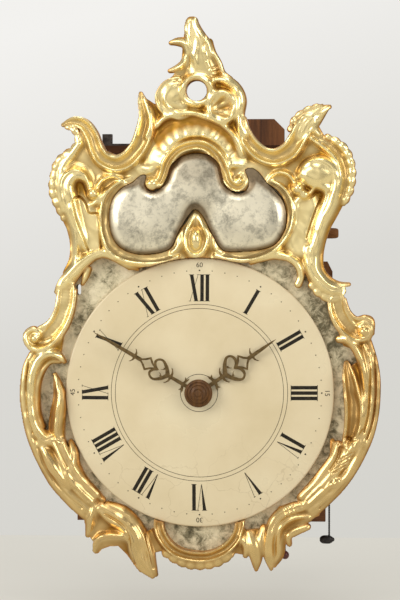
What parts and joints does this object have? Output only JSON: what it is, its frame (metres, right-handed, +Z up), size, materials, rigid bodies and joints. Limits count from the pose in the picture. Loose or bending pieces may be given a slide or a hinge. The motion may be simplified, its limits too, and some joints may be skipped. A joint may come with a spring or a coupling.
{
  "type": "musical wall clock",
  "caption": "Wall clock with an asymmetrical carved gilt front, domed dial, pierced hands, wooden case with side doors, going, striking and bell-music works, and two pull cords.",
  "frame": {"origin": "middle of the hanging hole, halfway through the back board", "axes": "+Y to the wall along the hanging hole, +Z up, dial facing -Y, +X to the right as seen from the front"},
  "size_m": [0.3362, 0.1973, 0.5217],
  "materials": {
    "gilt_wood": "carved wood with worn water gilding over red bole",
    "silver_leaf": "carved wood with tarnished silver leaf",
    "dial_paint": "domed wooden dial with aged cream paint and black numerals",
    "boss_wood": "turned and polished red-brown wood",
    "hand_brass": "pierced and darkened brass",
    "dark_wood": "old dark stained softwood",
    "pale_wood": "old bare beech",
    "brass": "aged brass",
    "iron": "dark wrought iron",
    "black_iron": "blackened iron",
    "cord": "black twisted cord",
    "red_ball": "turned wood, dark red"
  },
  "bodies": {
    "case": {"shield_board": "dark_wood", "crest_carving": "gilt_wood", "left_wing": "gilt_wood", "right_wing": "gilt_wood", "left_border": "gilt_wood", "right_border": "gilt_wood", "apron_carving": "gilt_wood", "silver_cartouche": "silver_leaf", "palmette": "gilt_wood", "dial_plate": "dial_paint", "back_board": "dark_wood", "top_board": "dark_wood", "bottom_board": "dark_wood", "corner_posts": "dark_wood", "front_plate": "pale_wood", "middle_plate": "pale_wood", "rear_plate": "pale_wood", "music_deck": "pale_wood", "shield_battens": "dark_wood", "slide_staples": "iron", "hour_bell": "brass", "music_cheeks": "pale_wood", "bell_rod": "iron", "music_bells": "brass", "hammer_rod": "iron"},
    "minute": {"minute_hand": "hand_brass", "minute_tube": "brass", "hub_boss": "boss_wood"},
    "hour": {"hour_hand": "hand_brass", "hour_wheel": "brass"},
    "motion": {"motion_wheel": "brass"},
    "third": {"third_wheel": "brass"},
    "great": {"great_wheel": "brass"},
    "centre": {"centre_wheel": "brass"},
    "escape": {"escape_wheel": "brass"},
    "swing": {"anchor": "iron", "pendulum": "brass"},
    "warning": {"warning_wheel": "brass"},
    "strike_great": {"strike_great_wheel": "brass"},
    "pins": {"pin_wheel": "brass"},
    "strike_vane": {"strike_fly": "brass"},
    "hour_striker": {"hour_hammer": "iron"},
    "music_second": {"music_second_wheel": "brass"},
    "barrel": {"pin_barrel": "pale_wood", "music_great_wheel": "brass"},
    "music_vane": {"music_fly": "brass"},
    "hammer_1": {"music_hammer_1": "iron"},
    "hammer_2": {"music_hammer_2": "iron"},
    "hammer_3": {"music_hammer_3": "iron"},
    "hammer_4": {"music_hammer_4": "iron"},
    "repeat": {"repeat_lever": "iron"},
    "repeat_pull": {"repeat_cord": "cord", "repeat_toggle": "black_iron"},
    "release": {"release_lever": "iron"},
    "release_pull": {"release_cord": "cord", "release_ball": "red_ball"},
    "left_side_door": {"left_door": "pale_wood"},
    "right_side_door": {"right_door": "pale_wood", "door_knob": "boss_wood"},
    "silence": {"silence_slide": "iron"}
  },
  "joints": [
    {"name": "minute_hand_turn", "type": "hinge", "parent": "case", "child": "minute", "pos_m": [0, -0.18, -0.246], "axis": [0, 1, 0], "continuous": true},
    {"name": "hour_hand_turn", "type": "hinge", "parent": "case", "child": "hour", "pos_m": [0, -0.17, -0.246], "axis": [0, 1, 0], "continuous": true},
    {"name": "motion_wheel_turn", "type": "hinge", "parent": "case", "child": "motion", "pos_m": [-0.0216, -0.142, -0.246], "axis": [0, 1, 0], "continuous": true},
    {"name": "third_wheel_turn", "type": "hinge", "parent": "case", "child": "third", "pos_m": [0.01205, -0.112, -0.20891], "axis": [0, 1, 0], "continuous": true},
    {"name": "great_wheel_turn", "type": "hinge", "parent": "case", "child": "great", "pos_m": [0, -0.112, -0.288], "axis": [0, 1, 0], "continuous": true},
    {"name": "centre_wheel_turn", "type": "hinge", "parent": "case", "child": "centre", "pos_m": [0, -0.112, -0.246], "axis": [0, 1, 0], "continuous": true},
    {"name": "escape_wheel_turn", "type": "hinge", "parent": "case", "child": "escape", "pos_m": [0.03442, -0.112, -0.17696], "axis": [0, 1, 0], "continuous": true},
    {"name": "pendulum_swing", "type": "hinge", "parent": "case", "child": "swing", "pos_m": [0.03442, -0.112, -0.14585], "axis": [0, 1, 0], "range_deg": [-4, 4]},
    {"name": "warning_wheel_turn", "type": "hinge", "parent": "case", "child": "warning", "pos_m": [0.00431, -0.068, -0.22617], "axis": [0, 1, 0], "continuous": true},
    {"name": "strike_great_wheel_turn", "type": "hinge", "parent": "case", "child": "strike_great", "pos_m": [-0.008, -0.068, -0.302], "axis": [0, 1, 0], "continuous": true},
    {"name": "pin_wheel_turn", "type": "hinge", "parent": "case", "child": "pins", "pos_m": [-0.008, -0.068, -0.26], "axis": [0, 1, 0], "continuous": true},
    {"name": "strike_fly_turn", "type": "hinge", "parent": "case", "child": "strike_vane", "pos_m": [-0.00919, -0.068, -0.20279], "axis": [0, 1, 0], "continuous": true},
    {"name": "hour_hammer_swing", "type": "hinge", "parent": "case", "child": "hour_striker", "pos_m": [-0.042, -0.06, -0.24], "axis": [0, 1, 0], "range_deg": [-12, 2], "stiffness_Nm_per_rad": 0.1},
    {"name": "music_second_wheel_turn", "type": "hinge", "parent": "case", "child": "music_second", "pos_m": [-0.067, -0.08383, -0.08231], "axis": [1, 0, 0], "continuous": true},
    {"name": "pin_barrel_turn", "type": "hinge", "parent": "case", "child": "barrel", "pos_m": [0, -0.05, -0.07], "axis": [1, 0, 0], "continuous": true},
    {"name": "music_fly_turn", "type": "hinge", "parent": "case", "child": "music_vane", "pos_m": [-0.067, -0.10721, -0.06881], "axis": [1, 0, 0], "continuous": true},
    {"name": "music_hammer_1_swing", "type": "hinge", "parent": "case", "child": "hammer_1", "pos_m": [-0.035, -0.086, -0.088], "axis": [1, 0, 0], "range_deg": [-3, 4], "stiffness_Nm_per_rad": 0.05},
    {"name": "music_hammer_2_swing", "type": "hinge", "parent": "case", "child": "hammer_2", "pos_m": [-0.008, -0.086, -0.088], "axis": [1, 0, 0], "range_deg": [-3, 4], "stiffness_Nm_per_rad": 0.05},
    {"name": "music_hammer_3_swing", "type": "hinge", "parent": "case", "child": "hammer_3", "pos_m": [0.019, -0.086, -0.088], "axis": [1, 0, 0], "range_deg": [-3, 4], "stiffness_Nm_per_rad": 0.05},
    {"name": "music_hammer_4_swing", "type": "hinge", "parent": "case", "child": "hammer_4", "pos_m": [0.046, -0.086, -0.088], "axis": [1, 0, 0], "range_deg": [-3, 4], "stiffness_Nm_per_rad": 0.05},
    {"name": "repeat_lever_pull", "type": "hinge", "parent": "case", "child": "repeat", "pos_m": [0.042, -0.1455, -0.306], "axis": [0, 1, 0], "range_deg": [0, 8], "stiffness_Nm_per_rad": 0.03, "springref_deg": -20.05},
    {"name": "repeat_cord_hang", "type": "hinge", "parent": "repeat", "child": "repeat_pull", "pos_m": [0.1205, -0.1455, -0.306], "axis": [0, 1, 0], "range_deg": [-8, 0]},
    {"name": "release_lever_pull", "type": "hinge", "parent": "case", "child": "release", "pos_m": [0.042, -0.1195, -0.328], "axis": [0, 1, 0], "range_deg": [0, 8], "stiffness_Nm_per_rad": 0.02, "springref_deg": -20.05},
    {"name": "release_cord_hang", "type": "hinge", "parent": "release", "child": "release_pull", "pos_m": [0.078, -0.1195, -0.328], "axis": [0, 1, 0], "range_deg": [-8, 0]},
    {"name": "left_door_open", "type": "hinge", "parent": "case", "child": "left_side_door", "pos_m": [-0.1, -0.013, -0.196], "axis": [0, 0, 1], "range_deg": [-90, 0]},
    {"name": "right_door_open", "type": "hinge", "parent": "case", "child": "right_side_door", "pos_m": [0.1, -0.013, -0.196], "axis": [0, 0, 1], "range_deg": [0, 90]},
    {"name": "silence_slide_travel", "type": "slide", "parent": "case", "child": "silence", "axis": [1, 0, 0], "range_m": [0, 0.012]}
  ],
  "couplings": [
    {"joint": "hour_hand_turn", "follows": "minute_hand_turn", "ratio": 0.083333},
    {"joint": "motion_wheel_turn", "follows": "minute_hand_turn", "ratio": -0.33333},
    {"joint": "great_wheel_turn", "follows": "third_wheel_turn", "ratio": 0.013889},
    {"joint": "centre_wheel_turn", "follows": "third_wheel_turn", "ratio": -0.083333},
    {"joint": "escape_wheel_turn", "follows": "third_wheel_turn", "ratio": -12},
    {"joint": "pin_wheel_turn", "follows": "warning_wheel_turn", "ratio": -0.125},
    {"joint": "strike_great_wheel_turn", "follows": "warning_wheel_turn", "ratio": 0.020833},
    {"joint": "strike_fly_turn", "follows": "warning_wheel_turn", "ratio": -8},
    {"joint": "pin_barrel_turn", "follows": "music_second_wheel_turn", "ratio": -0.125},
    {"joint": "music_fly_turn", "follows": "music_second_wheel_turn", "ratio": -8},
    {"joint": "repeat_cord_hang", "follows": "repeat_lever_pull", "ratio": -1},
    {"joint": "release_cord_hang", "follows": "release_lever_pull", "ratio": -1}
  ]
}
